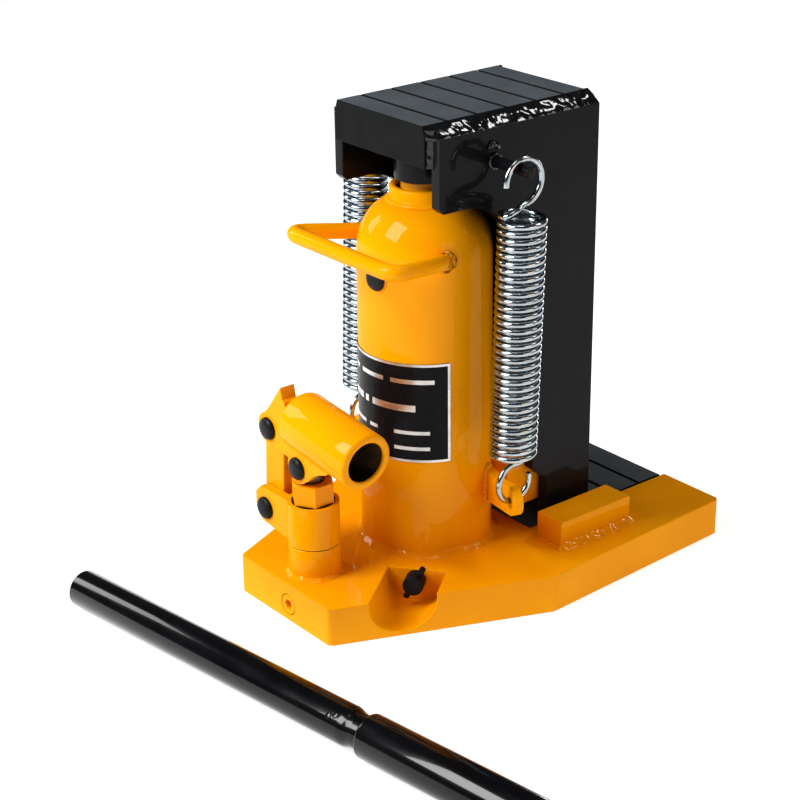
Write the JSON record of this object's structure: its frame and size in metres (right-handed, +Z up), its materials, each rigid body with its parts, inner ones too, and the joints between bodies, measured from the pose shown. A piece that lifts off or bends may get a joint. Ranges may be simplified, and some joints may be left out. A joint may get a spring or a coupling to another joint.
{
  "type": "hydraulic toe jack",
  "caption": "Hydraulic toe jack with a lifting head and a low toe on one sliding carriage, a lever pump, a release valve and a loose pump handle.",
  "frame": {"origin": "on the floor under the centre of the upright oil reservoir", "axes": "+Z up, +Y along the toe, away from the pump; +X to the right when the pump is in front"},
  "size_m": [0.5072, 0.4646, 0.368],
  "materials": {
    "yellow_paint": "glossy yellow enamel",
    "black_paint": "glossy black enamel",
    "steel": "bare machined steel",
    "zinc": "bright zinc plate",
    "rubber": "matte",
    "plate": "black plate with a silver border"
  },
  "bodies": {
    "base_frame": {"base_plate": "yellow_paint", "left_guide_bar": "yellow_paint", "right_guide_bar": "yellow_paint", "front_oil_plug": "yellow_paint", "delivery_spring": "steel", "delivery_ball": "steel", "reservoir_tube": "yellow_paint", "pressure_cylinder": "steel", "top_gland": "steel", "ram_wiper": "rubber", "guide_block": "yellow_paint", "carry_handle": "yellow_paint", "filler_plug": "rubber", "rating_plate": "plate", "left_spring_lug": "yellow_paint", "right_spring_lug": "yellow_paint", "left_return_spring": "zinc", "right_return_spring": "zinc", "pump_boss": "yellow_paint", "pump_collar": "yellow_paint", "pump_gland_nut": "yellow_paint", "plunger_seal": "rubber", "ear_pin": "black_paint", "ear_pin_clip": "steel", "release_ball": "steel"},
    "carriage": {"head_plate": "black_paint", "right_side_plate": "black_paint", "left_side_plate": "black_paint", "rear_plate": "black_paint", "toe_jaw": "black_paint", "left_spring_peg": "black_paint", "right_spring_peg": "black_paint", "piston": "steel", "piston_seal": "rubber", "ram": "yellow_paint", "ram_saddle": "black_paint"},
    "plunger": {"pump_plunger": "steel"},
    "link": {"pump_link": "yellow_paint"},
    "lever": {"lever_socket": "yellow_paint", "lever_cheek_front": "yellow_paint", "lever_cheek_rear": "yellow_paint", "link_pin": "black_paint", "link_pin_clip": "steel", "plunger_pin": "black_paint", "plunger_pin_clip": "steel"},
    "release_valve": {"release_valve_stem": "black_paint", "release_cross_pin": "black_paint"},
    "pump_handle": {"handle_lower_tube": "black_paint", "handle_upper_tube": "black_paint"}
  },
  "joints": [
    {"name": "carriage_lift", "type": "slide", "parent": "base_frame", "child": "carriage", "axis": [0, 0, 1], "range_m": [0, 0.205], "stiffness_N_per_m": 1200, "springref_m": -0.02, "deforming": ["left_return_spring", "right_return_spring"]},
    {"name": "link_rock", "type": "hinge", "parent": "base_frame", "child": "link", "pos_m": [-0.0388, -0.1078, 0.0724], "axis": [0, -1, 0], "range_deg": [0, 5.4]},
    {"name": "lever_swing", "type": "hinge", "parent": "link", "child": "lever", "pos_m": [-0.0352, -0.1078, 0.1378], "axis": [0, -1, 0], "range_deg": [0, 34]},
    {"name": "plunger_stroke", "type": "slide", "parent": "base_frame", "child": "plunger", "axis": [0, 0, 1], "range_m": [0, 0.0268]},
    {"name": "release_turn", "type": "hinge", "parent": "base_frame", "child": "release_valve", "pos_m": [0.0492, -0.0497, 0.0245], "axis": [0.6051, -0.7961, 0], "range_deg": [0, 270]},
    {"name": "handle_lift", "type": "slide", "parent": "base_frame", "child": "pump_handle", "axis": [0, 0, 1], "range_m": [0, 0.15]}
  ],
  "couplings": [
    {"joint": "link_rock", "follows": "lever_swing", "ratio": 0.156},
    {"joint": "plunger_stroke", "follows": "lever_swing", "m_per_rad": 0.04475}
  ]
}
